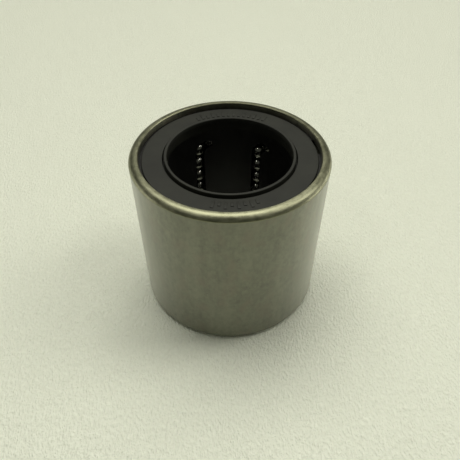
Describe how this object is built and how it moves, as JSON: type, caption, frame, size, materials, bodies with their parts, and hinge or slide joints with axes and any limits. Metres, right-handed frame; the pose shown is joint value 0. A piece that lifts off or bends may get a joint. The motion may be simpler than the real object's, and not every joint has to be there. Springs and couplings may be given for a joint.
{
  "type": "linear ball bearing",
  "caption": "Closed linear ball bearing: a plain steel sleeve with recirculating ball tracks in a moulded cage, and a lip seal held by a split ring at each end.",
  "frame": {"origin": "centre of the bearing's box, on the bore axis half way along it", "axes": "+Z along the bore axis; one loaded ball track lies on +X and the others follow every 60 degrees"},
  "size_m": [0.032, 0.032, 0.029],
  "materials": {
    "sleeve_steel": "ground satin",
    "cage_plastic": "moulded satin",
    "seal_rubber": "moulded matt",
    "ball_steel": "polished",
    "ring_steel": "phosphated"
  },
  "bodies": {
    "housing": {"outer_sleeve": "sleeve_steel", "ball_cage": "cage_plastic", "upper_seal": "seal_rubber", "lower_seal": "seal_rubber", "upper_retaining_ring": "ring_steel", "lower_retaining_ring": "ring_steel"},
    "load_balls_1": {"load_balls_1": "ball_steel"},
    "return_balls_1": {"return_balls_1": "ball_steel"},
    "upper_turn_balls_1": {"upper_turn_balls_1": "ball_steel"},
    "lower_turn_balls_1": {"lower_turn_balls_1": "ball_steel"},
    "load_balls_2": {"load_balls_2": "ball_steel"},
    "return_balls_2": {"return_balls_2": "ball_steel"},
    "upper_turn_balls_2": {"upper_turn_balls_2": "ball_steel"},
    "lower_turn_balls_2": {"lower_turn_balls_2": "ball_steel"},
    "load_balls_3": {"load_balls_3": "ball_steel"},
    "return_balls_3": {"return_balls_3": "ball_steel"},
    "upper_turn_balls_3": {"upper_turn_balls_3": "ball_steel"},
    "lower_turn_balls_3": {"lower_turn_balls_3": "ball_steel"},
    "load_balls_4": {"load_balls_4": "ball_steel"},
    "return_balls_4": {"return_balls_4": "ball_steel"},
    "upper_turn_balls_4": {"upper_turn_balls_4": "ball_steel"},
    "lower_turn_balls_4": {"lower_turn_balls_4": "ball_steel"},
    "load_balls_5": {"load_balls_5": "ball_steel"},
    "return_balls_5": {"return_balls_5": "ball_steel"},
    "upper_turn_balls_5": {"upper_turn_balls_5": "ball_steel"},
    "lower_turn_balls_5": {"lower_turn_balls_5": "ball_steel"},
    "load_balls_6": {"load_balls_6": "ball_steel"},
    "return_balls_6": {"return_balls_6": "ball_steel"},
    "upper_turn_balls_6": {"upper_turn_balls_6": "ball_steel"},
    "lower_turn_balls_6": {"lower_turn_balls_6": "ball_steel"}
  },
  "joints": [
    {"name": "load_travel_1", "type": "slide", "parent": "housing", "child": "load_balls_1", "axis": [0, 0, 1], "range_m": [-0.00176, 0.00106]},
    {"name": "return_travel_1", "type": "slide", "parent": "housing", "child": "return_balls_1", "axis": [0, 0, 1], "range_m": [-0.00106, 0.00176]},
    {"name": "upper_turn_1", "type": "hinge", "parent": "housing", "child": "upper_turn_balls_1", "pos_m": [0.01142, -0.00199, 0.00705], "axis": [1, 0, 0], "range_deg": [-56.17, 33.83]},
    {"name": "lower_turn_1", "type": "hinge", "parent": "housing", "child": "lower_turn_balls_1", "pos_m": [0.01142, -0.00199, -0.00705], "axis": [1, 0, 0], "range_deg": [-56.17, 33.83]},
    {"name": "load_travel_2", "type": "slide", "parent": "housing", "child": "load_balls_2", "axis": [0, 0, 1], "range_m": [-0.00016, 0.00266]},
    {"name": "return_travel_2", "type": "slide", "parent": "housing", "child": "return_balls_2", "axis": [0, 0, 1], "range_m": [-0.00266, 0.00016]},
    {"name": "upper_turn_2", "type": "hinge", "parent": "housing", "child": "upper_turn_balls_2", "pos_m": [0.00743, 0.00889, 0.00705], "axis": [0.5, 0.866, 0], "range_deg": [-5.11, 84.89]},
    {"name": "lower_turn_2", "type": "hinge", "parent": "housing", "child": "lower_turn_balls_2", "pos_m": [0.00743, 0.00889, -0.00705], "axis": [0.5, 0.866, 0], "range_deg": [-5.11, 84.89]},
    {"name": "load_travel_3", "type": "slide", "parent": "housing", "child": "load_balls_3", "axis": [0, 0, 1], "range_m": [-0.00082, 0.002]},
    {"name": "return_travel_3", "type": "slide", "parent": "housing", "child": "return_balls_3", "axis": [0, 0, 1], "range_m": [-0.002, 0.00082]},
    {"name": "upper_turn_3", "type": "hinge", "parent": "housing", "child": "upper_turn_balls_3", "pos_m": [-0.00399, 0.01088, 0.00705], "axis": [-0.5, 0.866, 0], "range_deg": [-26.17, 63.83]},
    {"name": "lower_turn_3", "type": "hinge", "parent": "housing", "child": "lower_turn_balls_3", "pos_m": [-0.00399, 0.01088, -0.00705], "axis": [-0.5, 0.866, 0], "range_deg": [-26.17, 63.83]},
    {"name": "load_travel_4", "type": "slide", "parent": "housing", "child": "load_balls_4", "axis": [0, 0, 1], "range_m": [-0.00231, 0.00051]},
    {"name": "return_travel_4", "type": "slide", "parent": "housing", "child": "return_balls_4", "axis": [0, 0, 1], "range_m": [-0.00051, 0.00231]},
    {"name": "upper_turn_4", "type": "hinge", "parent": "housing", "child": "upper_turn_balls_4", "pos_m": [-0.01142, 0.00199, 0.00705], "axis": [-1, 0, 0], "range_deg": [-73.72, 16.28]},
    {"name": "lower_turn_4", "type": "hinge", "parent": "housing", "child": "lower_turn_balls_4", "pos_m": [-0.01142, 0.00199, -0.00705], "axis": [-1, 0, 0], "range_deg": [-73.72, 16.28]},
    {"name": "load_travel_5", "type": "slide", "parent": "housing", "child": "load_balls_5", "axis": [0, 0, 1], "range_m": [-0.00126, 0.00156]},
    {"name": "return_travel_5", "type": "slide", "parent": "housing", "child": "return_balls_5", "axis": [0, 0, 1], "range_m": [-0.00156, 0.00126]},
    {"name": "upper_turn_5", "type": "hinge", "parent": "housing", "child": "upper_turn_balls_5", "pos_m": [-0.00743, -0.00889, 0.00705], "axis": [-0.5, -0.866, 0], "range_deg": [-40.21, 49.79]},
    {"name": "lower_turn_5", "type": "hinge", "parent": "housing", "child": "lower_turn_balls_5", "pos_m": [-0.00743, -0.00889, -0.00705], "axis": [-0.5, -0.866, 0], "range_deg": [-40.21, 49.79]},
    {"name": "load_travel_6", "type": "slide", "parent": "housing", "child": "load_balls_6", "axis": [0, 0, 1], "range_m": [-0.00206, 0.00076]},
    {"name": "return_travel_6", "type": "slide", "parent": "housing", "child": "return_balls_6", "axis": [0, 0, 1], "range_m": [-0.00076, 0.00206]},
    {"name": "upper_turn_6", "type": "hinge", "parent": "housing", "child": "upper_turn_balls_6", "pos_m": [0.00399, -0.01088, 0.00705], "axis": [0.5, -0.866, 0], "range_deg": [-65.75, 24.26]},
    {"name": "lower_turn_6", "type": "hinge", "parent": "housing", "child": "lower_turn_balls_6", "pos_m": [0.00399, -0.01088, -0.00705], "axis": [0.5, -0.866, 0], "range_deg": [-65.75, 24.26]}
  ],
  "couplings": [
    {"joint": "return_travel_1", "follows": "load_travel_1", "ratio": -1},
    {"joint": "upper_turn_1", "follows": "load_travel_1", "rad_per_m": 557.02},
    {"joint": "lower_turn_1", "follows": "load_travel_1", "rad_per_m": 557.02},
    {"joint": "return_travel_2", "follows": "load_travel_2", "ratio": -1},
    {"joint": "upper_turn_2", "follows": "load_travel_2", "rad_per_m": 557.02},
    {"joint": "lower_turn_2", "follows": "load_travel_2", "rad_per_m": 557.02},
    {"joint": "return_travel_3", "follows": "load_travel_3", "ratio": -1},
    {"joint": "upper_turn_3", "follows": "load_travel_3", "rad_per_m": 557.02},
    {"joint": "lower_turn_3", "follows": "load_travel_3", "rad_per_m": 557.02},
    {"joint": "return_travel_4", "follows": "load_travel_4", "ratio": -1},
    {"joint": "upper_turn_4", "follows": "load_travel_4", "rad_per_m": 557.02},
    {"joint": "lower_turn_4", "follows": "load_travel_4", "rad_per_m": 557.02},
    {"joint": "return_travel_5", "follows": "load_travel_5", "ratio": -1},
    {"joint": "upper_turn_5", "follows": "load_travel_5", "rad_per_m": 557.02},
    {"joint": "lower_turn_5", "follows": "load_travel_5", "rad_per_m": 557.02},
    {"joint": "return_travel_6", "follows": "load_travel_6", "ratio": -1},
    {"joint": "upper_turn_6", "follows": "load_travel_6", "rad_per_m": 557.02},
    {"joint": "lower_turn_6", "follows": "load_travel_6", "rad_per_m": 557.02}
  ]
}
